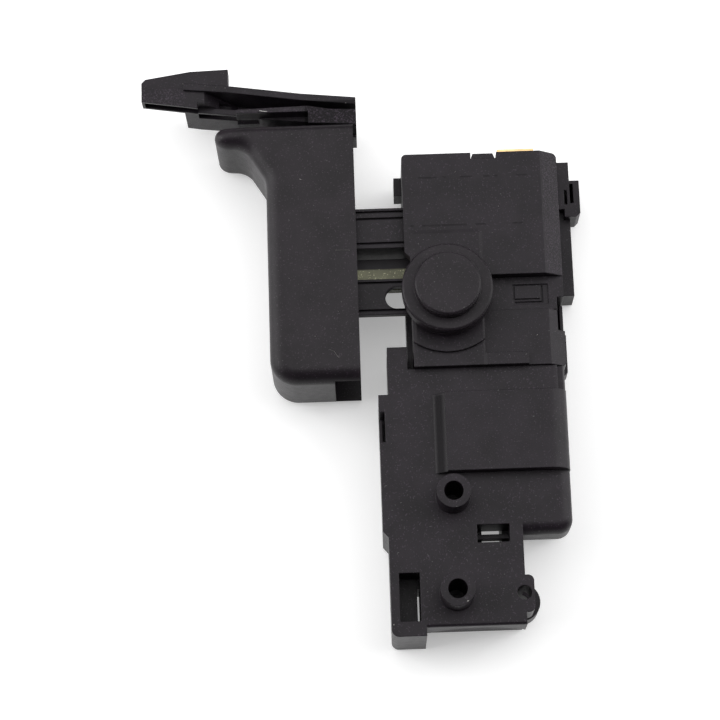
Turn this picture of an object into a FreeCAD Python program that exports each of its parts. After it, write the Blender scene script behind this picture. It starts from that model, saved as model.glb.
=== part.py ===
import FreeCAD, Part
import math
import os
import Sketcher

# Power tool trigger switch, lying on its back. Millimetres, X towards the switch body's right side,
# Y towards the direction lever, Z up from the back plane. The lock button's axis is the Z axis.

SIZES = {
    # switch body, measured from the button axis
    "body_left": 6.85,
    "body_right": 19.85,
    "body_top": 25.1,
    "body_bottom": 12.3,
    "body_depth": 17.2,
    "split_height": 8.0,
    "wall": 1.5,
    "cover_plate": 1.8,
    "corner_round": 0.8,
    # front cover's levels and outlines
    "cover_step_inset": 0.9,
    "cover_step_top": 7.6,
    "chamfer_width": 3.0,
    "chamfer_drop": 2.2,
    "recess_drop": 2.2,
    "recess_top": 3.2,
    "recess_foot": 2.6,
    "recess_floor": 1.0,
    "plateau_drop": 1.6,
    "plateau_edge": 17.15,
    "panel_drop": 0.7,
    "panel_right": 6.1,
    "foot_strip_right": 13.35,
    "foot_strip_width": 2.1,
    "disc_radius": 10.0,
    "disc_chord": 7.0,
    "mark_left": 11.25,
    "mark_width": 6.0,
    "mark_height": 3.5,
    "mark_depth": 0.3,
    "mark_low": 1.6,
    "mark_block_left": 0.3,
    "mark_block_right": 1.45,
    "mark_block_low": 1.0,
    "mark_block_top": 0.2,
    "mark_groove": 0.25,
    "mark_groove_right": 0.9,
    "mark_groove_low": 0.3,
    # latch in the top edge, lug and snap tab at the sides
    "latch_left": 5.25,
    "latch_width": 4.0,
    "latch_proud": 0.7,
    "latch_height": 14.6,
    "latch_fit": 0.2,
    "latch_notch": 1.1,
    "lug_length": 3.2,
    "lug_proud": 1.3,
    "lug_top": 24.1,
    "lug_height": 4.6,
    "snap_window": 5.7,
    "snap_drop": 0.45,
    "snap_depth": 1.2,
    "snap_tab": 0.55,
    "snap_tab_length": 4.7,
    "snap_tab_height": 3.0,
    "rib_length": 6.6,
    "rib_proud": 0.8,
    "rib_top": 4.8,
    "rib_height": 6.0,
    # lock button
    "cap_radius": 5.55,
    "cap_top": 24.1,
    "flange_radius": 7.65,
    "flange_top": 21.8,
    "flange_height": 2.7,
    "button_round": 0.5,
    "button_recess_radius": 4.2,
    "button_recess_top": 22.6,
    "stem_radius": 1.0,
    "stem_fit": 0.08,
    "stem_foot_reach": 3.2,
    "stem_foot_height": 1.0,
    "foot_gap": 0.2,
    "button_spring_radius": 3.2,
    # plunger bars
    "bar_low": 9.2,
    "bar_high": 16.3,
    "bar_back": 8.0,
    "bar_front": 15.0,
    "bar_groove": 0.35,
    "bar_groove_depth": 0.6,
    "bar_end": 8.35,
    "plate_low": 2.2,
    "plate_high": 4.1,
    "plate_back": 12.2,
    "plate_thickness": 1.4,
    "slot_low": 1.2,
    "slot_high": 2.7,
    "slot_left": 10.35,
    "slot_right": 1.95,
    "plate_end_rim": 1.0,
    "root_length": 8.8,
    "root_low": 3.0,
    "root_back": 6.5,
    "slider_low": 2.9,
    "slider_high": 8.4,
    "slider_back": 9.0,
    "slider_thickness": 2.0,
    "slider_end": 4.35,
    "window_clearance": 0.35,
    "guide_clearance": 0.2,
    # finger trigger
    "trigger_face": 30.15,
    "trigger_right": 14.95,
    "trigger_top": 31.5,
    "trigger_bottom": 14.4,
    "trigger_back": 0.2,
    "trigger_width": 17.0,
    "trigger_wall": 1.5,
    "trigger_round": 2.6,
    "hook_under_round": 2.7,
    "hook_top_round": 1.6,
    "trigger_toe_round": 4.5,
    "hook_tip": 39.2,
    "hook_thickness": 3.3,
    "hook_under_left": 3.6,
    "hook_throat": 6.2,
    "throat_round": 3.7,
    "trigger_notch": 4.4,
    "trigger_travel": 6.0,
    # lower module, measured down from the button axis
    "module_left": 12.15,
    "module_right": 19.4,
    "module_shoulder": 16.6,
    "module_corner_left": 10.45,
    "module_corner_top": 8.4,
    "module_leg_left": 11.25,
    "module_leg_right": 10.95,
    "module_leg_top": 40.9,
    "rear_leg_top": 39.2,
    "cavity_low": 36.0,
    "module_bottom": 56.0,
    "module_depth": 15.0,
    "module_split": 8.6,
    "module_round": 2.4,
    "module_edge_round": 2.0,
    "module_corner_back": 2.1,
    "raised_left": 1.05,
    "raised_top": 16.9,
    "raised_bottom": 30.4,
    "raised_height": 2.3,
    "ramp_width": 2.0,
    "rear_bottom": 54.7,
    "foot_right": 5.5,
    "foot_drop": 1.4,
    "foot_round": 1.2,
    "arch_x": 3.1,
    "arch_radius": 9.7,
    "arch_top": 12.8,
    "low_edge_round": 0.5,
    "boss_x": 0.35,
    "boss_radius": 2.85,
    "boss_bore": 1.6,
    "boss_top": 20.3,
    "boss_bore_depth": 11.2,
    "boss_upper": 34.4,
    "boss_lower": 50.6,
    "slot_one_left": 3.4,
    "slot_one_width": 5.4,
    "slot_one_top": 39.2,
    "slot_one_height": 3.0,
    "slot_one_bar": 0.8,
    "slot_one_bar_drop": 0.9,
    "slot_one_bar_height": 2.0,
    "slot_one_rim": 1.0,
    "slot_one_hole_top": 37.4,
    "slot_two_left": 9.8,
    "slot_two_width": 3.45,
    "slot_two_top": 46.9,
    "slot_two_height": 8.05,
    "slot_two_gap": 0.45,
    "slot_two_gap_drop": 1.6,
    "side_window_top": 19.5,
    "side_window_height": 5.2,
    "side_window_depth": 1.0,
    "side_tab": 0.55,
    "side_tab_inset": 0.6,
    "side_tab_height": 3.0,
    "shoulder_strip": 1.3,
    "shoulder_drop": 0.8,
    "ear_x": 10.75,
    "ear_y": 50.75,
    "ear_radius": 3.2,
    "ear_thickness": 5.0,
    "ear_hole": 1.2,
    "ear_front_right": 12.4,
    "ear_front_up": 2.95,
    "ear_front_down": 3.25,
    "ear_front_round": 1.0,
    # side bracket
    "bracket_gap": 0.55,
    "bracket_wall": 2.1,
    "bracket_top": 26.0,
    "bracket_bottom": 2.2,
    "bracket_height": 8.0,
    "bracket_waist": 17.4,
    "bracket_step": 1.8,
    "bracket_floor": 1.5,
    "loop_top": 22.6,
    "loop_length": 6.6,
    "loop_reach": 1.7,
    "loop_wall": 0.7,
    "loop_back": 2.0,
    "loop_slot_width": 0.6,
    "loop_slot_length": 3.5,
    "loop_slot_drop": 0.6,
    "loop_floor": 0.8,
    "loop_hole_inset": 0.5,
    "loop_hole_width": 0.5,
    "loop_hole_length": 2.6,
    "loop_hole_drop": 1.7,
    # direction lever
    "lever_gap": 0.1,
    "lever_left": 44.2,
    "lever_right": 14.3,
    "lever_back": 3.6,
    "lever_front": 14.7,
    "lever_deck": 14.2,
    "lever_ledge": 12.0,
    "lever_ledge_width": 1.0,
    "lever_floor": 8.0,
    "lever_block_right": 41.8,
    "lever_ramp_top": 40.6,
    "lever_ramp_foot": 35.0,
    "lever_rim_left": 4.8,
    "lever_rim_start": 4.4,
    "lever_rim_bend_x": 32.8,
    "lever_rim_bend": 3.4,
    "lever_rim_low_x": 30.7,
    "lever_rim_low": 2.8,
    "lever_rim_end": 2.0,
    "lever_flange": 1.2,
    "lever_flange_left": 8.9,
    "lever_bend_one_x": 36.9,
    "lever_bend_one": 8.2,
    "lever_bend_two_x": 23.9,
    "lever_bend_two": 6.3,
    "lever_flange_right": 5.3,
    "lever_mid_left": 35.1,
    "lever_mid_low": 3.0,
    "lever_mid_start": 3.7,
    "lever_mid_bend": 4.0,
    "lever_mid_dip_x": 18.8,
    "lever_mid_dip": 3.3,
    "lever_mid_right": 3.1,
    "lever_tail_left": 22.6,
    "lever_tail_low": 0.9,
    "lever_tail_end": 0.4,
    "lever_foot_left": 30.0,
    "lever_foot_front": 9.0,
    "lever_foot_height": 2.0,
    "lever_slot_right": 30.0,
    "lever_slot_back": 9.3,
    "lever_slot_height": 2.1,
    "lever_slot_depth": 2.6,
    "nose_left": 51.5,
    "nose_back": 11.0,
    "nose_low": 5.9,
    "nose_tip": 9.3,
    "nose_corner": 0.7,
    "nose_shoulder_x": 43.0,
    "nose_shoulder": 11.2,
    "nose_top": 11.4,
    "nose_right": 36.4,
    "nose_plate": 0.5,
    "pivot_x": 18.65,
    "pivot_radius": 1.3,
    "pivot_fit": 0.06,
    "pivot_depth": 3.4,
    "detent_offset": 5.0,
    "detent_depth": 6.0,
    "detent_tube_wall": 0.8,
    "detent_turns": 4.0,
    "pin_rise": 2.0,
    "detent_slack": 0.1,
    "ball_slack": 0.05,
    # springs and guide
    "spring_wire": 0.45,
    "return_radius": 1.9,
    "return_turns": 9.0,
    "button_turns": 4.0,
    "spring_bore": 2.5,
    "spring_bore_depth": 12.0,
    "guide_radius": 1.2,
    "guide_length": 7.5,
    "seat_thickness": 1.5,
    "seat_width": 5.0,
    # contacts
    "carrier_length": 6.4,
    "carrier_width": 5.0,
    "carrier_back": 5.0,
    "carrier_height": 7.0,
    "bridge_gap": 2.2,
    "bridge_thickness": 0.6,
    "bridge_height": 10.0,
    "pad_radius": 1.2,
    "pad_thickness": 0.6,
    "contact_gap": 0.1,
    "track_drop": 2.8,
    "track_thickness": 0.8,
    "wiper_left": 2.0,
    "wiper_length": 5.0,
    "wiper_width": 2.4,
    "wiper_sheet": 0.3,
    "terminal_thickness": 0.8,
    "clip_size": 5.0,
    "stem_thickness": 0.8,
    "bridge_hole": 0.85,
    "bridge_spring_radius": 1.4,
    "bridge_spring_turns": 2.6,
    "tongue_left": 9.9,
    "tongue_width": 6.3,
    "tongue_proud": 2.1,
    "tongue_rise": 0.5,
    # lower module's electronics
    "board_left": 8.8,
    "board_right": 16.5,
    "board_top": 14.5,
    "board_bottom": 35.6,
    "board_back": 4.0,
    "board_thickness": 1.6,
    "pillar_radius": 1.2,
    "pillar_inset": 2.0,
    "triac_width": 10.0,
    "triac_height": 9.0,
    "triac_thickness": 3.6,
    "sink_overhang": 1.5,
    "sink_thickness": 1.5,
    "capacitor_width": 7.0,
    "capacitor_length": 17.0,
    "capacitor_height": 6.6,
    "resistor_radius": 1.1,
    "resistor_length": 4.2,
    "resistor_pitch": 2.4,
    "resistor_drop": 4.0,
    "resistor_inset": 1.4,
    "resistor_wire": 1.0,
    "lead_radius": 0.3,
    "chip_left": 2.4,
    "chip_width": 5.0,
    "chip_length": 4.0,
    "chip_height": 1.5,
}


class Length:
    """A length in millimetres, with the sheet expression that gives it."""

    def __init__(self, value, text):
        self.value = value
        self.text = text

    def __add__(self, other):
        other = length(other)
        return Length(self.value + other.value, f"({self.text} + {other.text})")

    def __radd__(self, other):
        return length(other) + self

    def __sub__(self, other):
        other = length(other)
        return Length(self.value - other.value, f"({self.text} - {other.text})")

    def __rsub__(self, other):
        return length(other) - self

    def __mul__(self, factor):
        factor = length(factor)
        return Length(self.value * factor.value, f"({self.text} * {factor.text})")

    def __truediv__(self, factor):
        factor = length(factor)
        return Length(self.value / factor.value, f"({self.text} / {factor.text})")

    def __neg__(self):
        return Length(-self.value, f"(0 - {self.text})")


def length(number):
    if isinstance(number, Length):
        return number
    return Length(float(number), repr(float(number)))


class Sheet:
    """The sheet's sizes, read as attributes."""

    def __init__(self, document):
        cells = document.addObject("Spreadsheet::Sheet", "Sizes")
        for row, (alias, value) in enumerate(SIZES.items(), start=1):
            cells.set(f"A{row}", alias)
            cells.set(f"B{row}", str(value))
            cells.setAlias(f"B{row}", alias)
            setattr(self, alias, Length(float(value), f"Sizes.{alias}"))


DOC = FreeCAD.newDocument("TriggerSwitch")
s = Sheet(DOC)
DOC.recompute()
TINY = 0.01
PAST = 2.0


def bind(thing, sizes):
    """Ties each property of the dictionary to its expression."""
    for name, size in sizes.items():
        thing.setExpression(name, length(size).text)


def place(thing, x, y, z):
    bind(thing, {"Placement.Base.x": x, "Placement.Base.y": y, "Placement.Base.z": z})
    return thing


def box(name, x, y, z):
    """A block between the low and high limits on each axis."""
    block = DOC.addObject("Part::Box", name)
    bind(block, {
        "Length": length(x[1]) - x[0],
        "Width": length(y[1]) - y[0],
        "Height": length(z[1]) - z[0],
    })
    return place(block, x[0], y[0], z[0])


TURNS = {
    "X": FreeCAD.Rotation(FreeCAD.Vector(0, 1, 0), 90),
    "Y": FreeCAD.Rotation(FreeCAD.Vector(1, 0, 0), -90),
    "Z": FreeCAD.Rotation(),
}


def rod(name, axis, radius, start, reach):
    """A cylinder from start along an axis."""
    cylinder = DOC.addObject("Part::Cylinder", name)
    bind(cylinder, {"Radius": radius, "Height": reach})
    cylinder.Placement = FreeCAD.Placement(FreeCAD.Vector(), TURNS[axis])
    return place(cylinder, *start)


def join(name, pieces):
    union = DOC.addObject("Part::MultiFuse", name)
    union.Shapes = pieces
    union.Refine = True
    return union


def cut(name, base, tools):
    """The base without the tools."""
    tool = tools[0] if len(tools) == 1 else join(name + "_tools", tools)
    rest = DOC.addObject("Part::Cut", name)
    rest.Base = base
    rest.Tool = tool
    rest.Refine = True
    return rest


def new_body(name):
    return DOC.addObject("PartDesign::Body", name)


def sketch_on(body, name, height, plane="XY_Plane"):
    """An empty sketch on one of the body's own planes, moved along its normal."""
    sketch = body.newObject("Sketcher::SketchObject", name)
    origin_plane = [f for f in body.Origin.OriginFeatures if f.Role == plane][0]
    sketch.AttachmentSupport = [(origin_plane, "")]
    sketch.MapMode = "FlatFace"
    bind(sketch, {"AttachmentOffset.Base.z": height})
    return sketch


def fix(sketch, kind, corner, size):
    """Holds a vertex at a distance from the sketch's origin."""
    index = sketch.addConstraint(Sketcher.Constraint(kind, -1, 1, corner[0], corner[1], size.value))
    sketch.setExpression(f"Constraints[{index}]", size.text)


def polygon(sketch, points):
    """A closed outline whose corners are tied to the sheet."""
    corners = [(length(x), length(y)) for x, y in points]
    first = sketch.GeometryCount
    for index, (x, y) in enumerate(corners):
        next_x, next_y = corners[(index + 1) % len(corners)]
        start = FreeCAD.Vector(x.value, y.value, 0)
        end = FreeCAD.Vector(next_x.value, next_y.value, 0)
        sketch.addGeometry(Part.LineSegment(start, end))
    for index, (x, y) in enumerate(corners):
        following = first + (index + 1) % len(corners)
        sketch.addConstraint(Sketcher.Constraint("Coincident", first + index, 2, following, 1))
        fix(sketch, "DistanceX", (first + index, 1), x)
        fix(sketch, "DistanceY", (first + index, 1), y)


def circle(sketch, x, y, radius):
    x, y, radius = length(x), length(y), length(radius)
    centre = FreeCAD.Vector(x.value, y.value, 0)
    index = sketch.addGeometry(Part.Circle(centre, FreeCAD.Vector(0, 0, 1), radius.value))
    fix(sketch, "DistanceX", (index, 3), x)
    fix(sketch, "DistanceY", (index, 3), y)
    size = sketch.addConstraint(Sketcher.Constraint("Radius", index, radius.value))
    sketch.setExpression(f"Constraints[{size}]", radius.text)


def pad(body, name, draw, low, high, plane="XY_Plane"):
    """Material between two levels, with the outline that draw makes."""
    sketch = sketch_on(body, name + "_sketch", low, plane)
    draw(sketch)
    feature = body.newObject("PartDesign::Pad", name)
    feature.Profile = sketch
    bind(feature, {"Length": length(high) - low})
    body.Tip = feature
    return feature


def pocket(body, name, draw, low, high, plane="XY_Plane"):
    """A cut between two levels, made upwards from the lower one."""
    sketch = sketch_on(body, name + "_sketch", low, plane)
    draw(sketch)
    feature = body.newObject("PartDesign::Pocket", name)
    feature.Profile = sketch
    feature.Reversed = True
    bind(feature, {"Length": length(high) - low})
    body.Tip = feature
    return feature


def rectangle(x, y):
    """Draws a rectangle between the low and high limits."""
    def draw(sketch):
        polygon(sketch, [(x[0], y[0]), (x[1], y[0]), (x[1], y[1]), (x[0], y[1])])
    return draw


def outline(points):
    def draw(sketch):
        polygon(sketch, points)
    return draw


def disc(x, y, radius):
    def draw(sketch):
        circle(sketch, x, y, radius)
    return draw


def dress(body, name, kind, pick, sizes):
    """A fillet or chamfer on the edges of the body so far that pick accepts."""
    DOC.recompute()
    base = body.Tip
    edges = [f"Edge{i}" for i, edge in enumerate(base.Shape.Edges, start=1) if pick(edge)]
    if not edges:
        raise ValueError(f"{name} finds no edge")
    feature = body.newObject("PartDesign::" + kind, name)
    feature.Base = (base, edges)
    bind(feature, sizes)
    body.Tip = feature
    return feature


def upright_at(corners):
    """Picks the edges along Z that stand at one of the corners."""
    places = [(length(x).value, length(y).value) for x, y in corners]

    def pick(edge):
        ends = [v.Point for v in edge.Vertexes]
        if len(ends) != 2 or abs(ends[0].z - ends[1].z) < TINY:
            return False
        if math.hypot(ends[0].x - ends[1].x, ends[0].y - ends[1].y) > TINY:
            return False
        return any(math.hypot(ends[0].x - x, ends[0].y - y) < TINY for x, y in places)
    return pick


def level_at(height, inside):
    """Picks the edges that lie at one height and whose middle satisfies inside."""
    height = length(height).value

    def pick(edge):
        if any(abs(v.Z - height) > TINY for v in edge.Vertexes):
            return False
        middle = edge.CenterOfMass
        return abs(middle.z - height) < TINY and inside(middle)
    return pick


PARTS = []


def keep(thing, name):
    """Names a finished sub-part. The name is its file's name too."""
    thing.Label = name
    PARTS.append(thing)
    return thing


def spring(name, base, turn, free, radius, turns):
    """A round-wire coil spring that fills its length from base."""
    wire = s.spring_wire.value
    run = length(free).value - wire
    mean = length(radius).value
    helix = Part.makeHelix(run / turns.value, run, mean)
    section = Part.Wire(Part.makeCircle(wire / 2, FreeCAD.Vector(mean, 0, 0), FreeCAD.Vector(0, 1, 0)))
    solid = Part.Wire(helix.Edges).makePipeShell([section], True, True)
    coil_piece = DOC.addObject("Part::Feature", name)
    coil_piece.Shape = solid
    lift = turn.multVec(FreeCAD.Vector(0, 0, wire / 2))
    foot = FreeCAD.Vector(*[length(value).value for value in base])
    coil_piece.Placement = FreeCAD.Placement(foot + lift, turn)
    return keep(coil_piece, name)


# Levels and places that several pieces share
left = -s.body_left
right = s.body_right
top = s.body_top
bottom = -s.body_bottom
front = s.body_depth
split = s.split_height
ceiling = front - s.cover_plate
inner_right = right - s.wall
inner_top = top - s.wall
recess_level = front - s.recess_drop
low_ceiling = recess_level - s.recess_floor
plate_front = s.plate_back + s.plate_thickness
trigger_front = s.trigger_back + s.trigger_width
trigger_left = -s.trigger_face
trigger_end = -s.trigger_right
trigger_inner = trigger_left + s.trigger_wall
root_right = trigger_inner + s.root_length
bar_middle = (s.bar_low + s.bar_high) / 2
bar_centre = (s.bar_back + s.bar_front) / 2
seat_left = inner_right - s.seat_thickness
window_low = -s.plate_low - s.window_clearance
window_high = s.bar_high + s.window_clearance
window_front = s.bar_front + s.guide_clearance
window_back = s.bar_back - s.guide_clearance - s.slider_thickness
strip_top = bottom + s.foot_strip_width
contact_centre = s.carrier_back + s.carrier_height / 2
upper_strip_z = (contact_centre + s.bridge_height / 2 - s.pad_radius * 2, contact_centre + s.bridge_height / 2)
tongue_z = (upper_strip_z[0] + s.tongue_rise, upper_strip_z[0] + s.tongue_rise + s.terminal_thickness)


def rear_housing():
    """The body's rear tray, with its window for the plunger, latch, lug, snap tab and ribs."""
    tray = new_body("RearTray")
    pad(tray, "Tray", rectangle((left, right), (bottom, top)), 0, split)
    corners = [(left, top), (right, top), (left, bottom), (right, bottom)]
    dress(tray, "TrayCorners", "Fillet", upright_at(corners), {"Radius": s.corner_round})
    inside = rectangle((left + s.wall, inner_right), (bottom + s.wall, inner_top))
    pocket(tray, "TrayCavity", inside, s.wall, split + PAST)
    window = rectangle((left - PAST, left + s.wall + TINY), (window_low, window_high))
    pocket(tray, "TrayWindow", window, window_back, split + PAST)

    latch_right = s.latch_left + s.latch_width
    shoulder = s.latch_proud * 0.4
    latch_foot = top - s.latch_notch + s.latch_fit
    latch_points = [
        (s.latch_left, latch_foot),
        (latch_right, latch_foot),
        (latch_right, top),
        (latch_right - shoulder, top + s.latch_proud),
        (s.latch_left + shoulder, top + s.latch_proud),
        (s.latch_left, top),
    ]
    pad(tray, "Latch", outline(latch_points), split - PAST, s.latch_height)
    lug = rectangle((left - s.lug_proud, left + s.wall / 2), (s.lug_top - s.lug_length, s.lug_top))
    pad(tray, "Lug", lug, split - s.lug_height, split)

    tab_top = -s.snap_drop - (s.snap_window - s.snap_tab_length) / 2
    tab = rectangle((right - s.snap_tab, right), (tab_top - s.snap_tab_length, tab_top))
    pad(tray, "SnapTab", tab, split - PAST, split + s.snap_tab_height)
    rib_low = -s.rib_top - s.rib_length
    rib = [
        (right - s.wall / 2, rib_low - s.rib_proud),
        (right, rib_low - s.rib_proud),
        (right + s.rib_proud, rib_low),
        (right + s.rib_proud, -s.rib_top),
        (right - s.wall / 2, -s.rib_top),
    ]
    pad(tray, "SideRib", outline(rib), 1, s.rib_height)
    seat_y = (bar_middle - s.seat_width / 2, bar_middle + s.seat_width / 2)
    seat_top = low_ceiling - s.guide_clearance
    pad(tray, "SpringSeat", rectangle((seat_left, inner_right), seat_y), s.wall - TINY, seat_top)
    for place_x in (0, s.bar_end):
        rib_box = rectangle((place_x, place_x + 1), (bar_middle - PAST, bar_middle + PAST))
        pad(tray, f"TrackRib{int(length(place_x).value)}", rib_box, s.wall - TINY, track_back)
    guide_start = (seat_left - s.guide_length, bar_middle, bar_centre)
    guide = rod("SpringGuide", "X", s.guide_radius, guide_start, s.guide_length + TINY)
    keep(join("RearHousingSolid", [tray, guide]), "rear_housing")


def front_cover():
    """The body's front half: disc under the button, stepped recess and chamfered right edge."""
    cover = new_body("Cover")
    step_left = left + s.cover_step_inset
    edge = [
        (step_left, bottom),
        (right, bottom),
        (right, top),
        (left, top),
        (left, s.cover_step_top),
        (step_left, s.cover_step_top - s.cover_step_inset),
    ]
    pad(cover, "CoverBlock", outline(edge), split, front)
    corners = [(left, top), (right, top), (right, bottom)]
    dress(cover, "CoverCorners", "Fillet", upright_at(corners), {"Radius": s.corner_round})

    cavity_left = step_left + s.wall
    cavity = rectangle((cavity_left, inner_right), (bottom + s.wall, inner_top))
    pocket(cover, "CoverCavity", cavity, split - PAST, low_ceiling)
    high_part = [
        (cavity_left, bottom + s.wall),
        (s.panel_right - s.wall / 2, bottom + s.wall),
        (s.panel_right - s.wall / 2, s.recess_top + s.wall),
        (inner_right - s.chamfer_width / 2, s.recess_top + s.wall),
        (inner_right - s.chamfer_width / 2, inner_top),
        (cavity_left, inner_top),
    ]
    pocket(cover, "CoverCeiling", outline(high_part), low_ceiling - TINY, ceiling)
    window = rectangle((left - PAST, cavity_left + TINY), (window_low, window_high))
    pocket(cover, "CoverWindow", window, split - PAST, window_front)

    above = front + PAST
    recess = rectangle((s.panel_right, right + PAST), (-s.recess_foot, s.recess_top))
    pocket(cover, "Recess", recess, recess_level, above)
    plateau = [
        (s.panel_right, -s.recess_foot),
        (s.panel_right, strip_top),
        (s.foot_strip_right, strip_top),
        (s.foot_strip_right, bottom - PAST),
        (right + PAST, bottom - PAST),
        (right + PAST, -s.recess_foot),
    ]
    pocket(cover, "Plateau", outline(plateau), front - s.plateau_drop, above)
    mark_x = (s.mark_left, s.mark_left + s.mark_width)
    mark_y = (-s.mark_low, -s.mark_low + s.mark_height)
    mark_floor = recess_level - s.mark_depth
    pocket(cover, "MarkFrame", rectangle(mark_x, mark_y), mark_floor, recess_level + TINY)
    mark_block = rectangle((mark_x[0] + s.mark_block_left, mark_x[1] - s.mark_block_right),
                           (mark_y[0] + s.mark_block_low, mark_y[1] - s.mark_block_top))
    pad(cover, "MarkBlock", mark_block, mark_floor - TINY, recess_level)
    corner_x = mark_x[1] - s.mark_groove_right
    corner_y = mark_y[0] + s.mark_groove_low
    groove = [
        (mark_x[0] + s.mark_block_left, corner_y),
        (corner_x, corner_y),
        (corner_x, mark_y[1] - s.mark_block_top),
        (corner_x - s.mark_groove, mark_y[1] - s.mark_block_top),
        (corner_x - s.mark_groove, corner_y + s.mark_groove),
        (mark_x[0] + s.mark_block_left, corner_y + s.mark_groove),
    ]
    pocket(cover, "MarkGroove", outline(groove), mark_floor - s.mark_depth, recess_level)

    latch_x = (s.latch_left - s.latch_fit, s.latch_left + s.latch_width + s.latch_fit)
    pocket(cover, "LatchNotch", rectangle(latch_x, (top - s.latch_notch, top + PAST)), split - PAST, above)
    tongue_x = (latch_x[1] - TINY, s.tongue_left + s.tongue_width + s.guide_clearance)
    tongue_front = tongue_z[1] + s.guide_clearance
    tongue_gap = rectangle(tongue_x, (inner_top - TINY, top + PAST))
    pocket(cover, "TongueGap", tongue_gap, split - PAST, tongue_front)
    snap_y = (-s.snap_drop - s.snap_window, -s.snap_drop)
    snap = rectangle((right - s.snap_depth, right + PAST), snap_y)
    pocket(cover, "SnapWindow", snap, split - PAST, above)
    pocket(cover, "StemBore", disc(0, 0, s.stem_radius + s.stem_fit), low_ceiling, above)
    key = rectangle((-s.stem_foot_reach - s.stem_fit, 0), (-s.stem_radius * 0.8, s.stem_radius * 0.8))
    pocket(cover, "StemKeyway", key, low_ceiling, above)

    slope_start = right - s.chamfer_width
    slope = [
        (slope_start, front),
        (right + PAST, front - s.chamfer_drop * (s.chamfer_width + PAST) / s.chamfer_width),
        (right + PAST, above),
        (slope_start, above),
    ]
    edge_cut = pocket(cover, "TopChamfer", outline(slope), -top - PAST, -s.recess_top, "XZ_Plane")
    edge_cut.Reversed = True
    lower_front = front - s.plateau_drop
    lower_slope = [
        (s.plateau_edge, lower_front),
        (right + PAST, lower_front - s.chamfer_drop * (right + PAST - s.plateau_edge) / s.chamfer_width),
        (right + PAST, above),
        (s.plateau_edge, above),
    ]
    pocket(cover, "FootChamfer", outline(lower_slope), s.recess_foot, s.body_bottom + PAST, "XZ_Plane")
    panel = box("PanelArea", (left - PAST, s.panel_right), (bottom - PAST, -s.disc_chord),
                (front - s.panel_drop, above))
    strip = box("FootStrip", (s.panel_right - TINY, s.foot_strip_right), (bottom - PAST, strip_top),
                (front - s.panel_drop, above))
    raised = rod("RaisedDisc", "Z", s.disc_radius, (0, 0, front - s.panel_drop - PAST), s.panel_drop + PAST * 3)
    lowered = cut("LoweredPanel", join("PanelTools", [panel, strip]), [raised])
    keep(cut("CoverLowered", cover, [lowered]), "front_cover")


def module_outline(leg_top, low):
    """The lower module's outline without its foot, clockwise from the corner beside the body."""
    corner = -s.module_corner_left
    leg_right = s.module_leg_right
    return [
        (corner, -s.module_corner_top),
        (left - s.guide_clearance, -s.module_corner_top),
        (left - s.guide_clearance, bottom),
        (s.module_right, bottom),
        (s.module_right, -leg_top),
        (leg_right, -leg_top),
        (leg_right, -low),
        (-s.module_leg_left, -low),
        (-s.module_leg_left, -s.module_leg_top),
        (-s.module_left, -s.module_leg_top + s.module_corner_back / 2),
        (-s.module_left, -s.module_shoulder),
        (corner, -s.module_shoulder),
    ]


def module_foot(case, name, low, high):
    """The foot at the module's lower left corner."""
    foot_low = -s.module_bottom - s.foot_drop
    foot = [
        (-s.module_leg_left, -s.rear_bottom + TINY),
        (-s.module_leg_left, foot_low),
        (-s.foot_right, foot_low),
        (-s.foot_right, -s.rear_bottom + TINY),
    ]
    pad(case, name, outline(foot), low, high)
    corner = [(-s.module_leg_left, foot_low)]
    dress(case, name + "Corner", "Fillet", upright_at(corner), {"Radius": s.foot_round})


board_front = s.board_back + s.board_thickness
track_back = s.bar_back - s.track_drop
cavity_x = (-s.module_corner_left + s.wall, s.module_right - s.wall)
cavity_y = (-s.cavity_low, bottom - s.wall)
pillars = [(x, y) for x in (-s.board_left + s.pillar_inset, s.board_right - s.pillar_inset)
           for y in (-s.board_top - s.pillar_inset, -s.board_bottom + s.pillar_inset)]
slot_one_x = (s.slot_one_left, s.slot_one_left + s.slot_one_width)
slot_one_y = (-s.slot_one_top - s.slot_one_height, -s.slot_one_top)
slot_two_x = (-s.slot_two_left, -s.slot_two_left + s.slot_two_width)
slot_two_y = (-s.slot_two_top - s.slot_two_height, -s.slot_two_top)
bosses = [(-s.boss_x, -s.boss_upper), (-s.boss_x, -s.boss_lower)]


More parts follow.
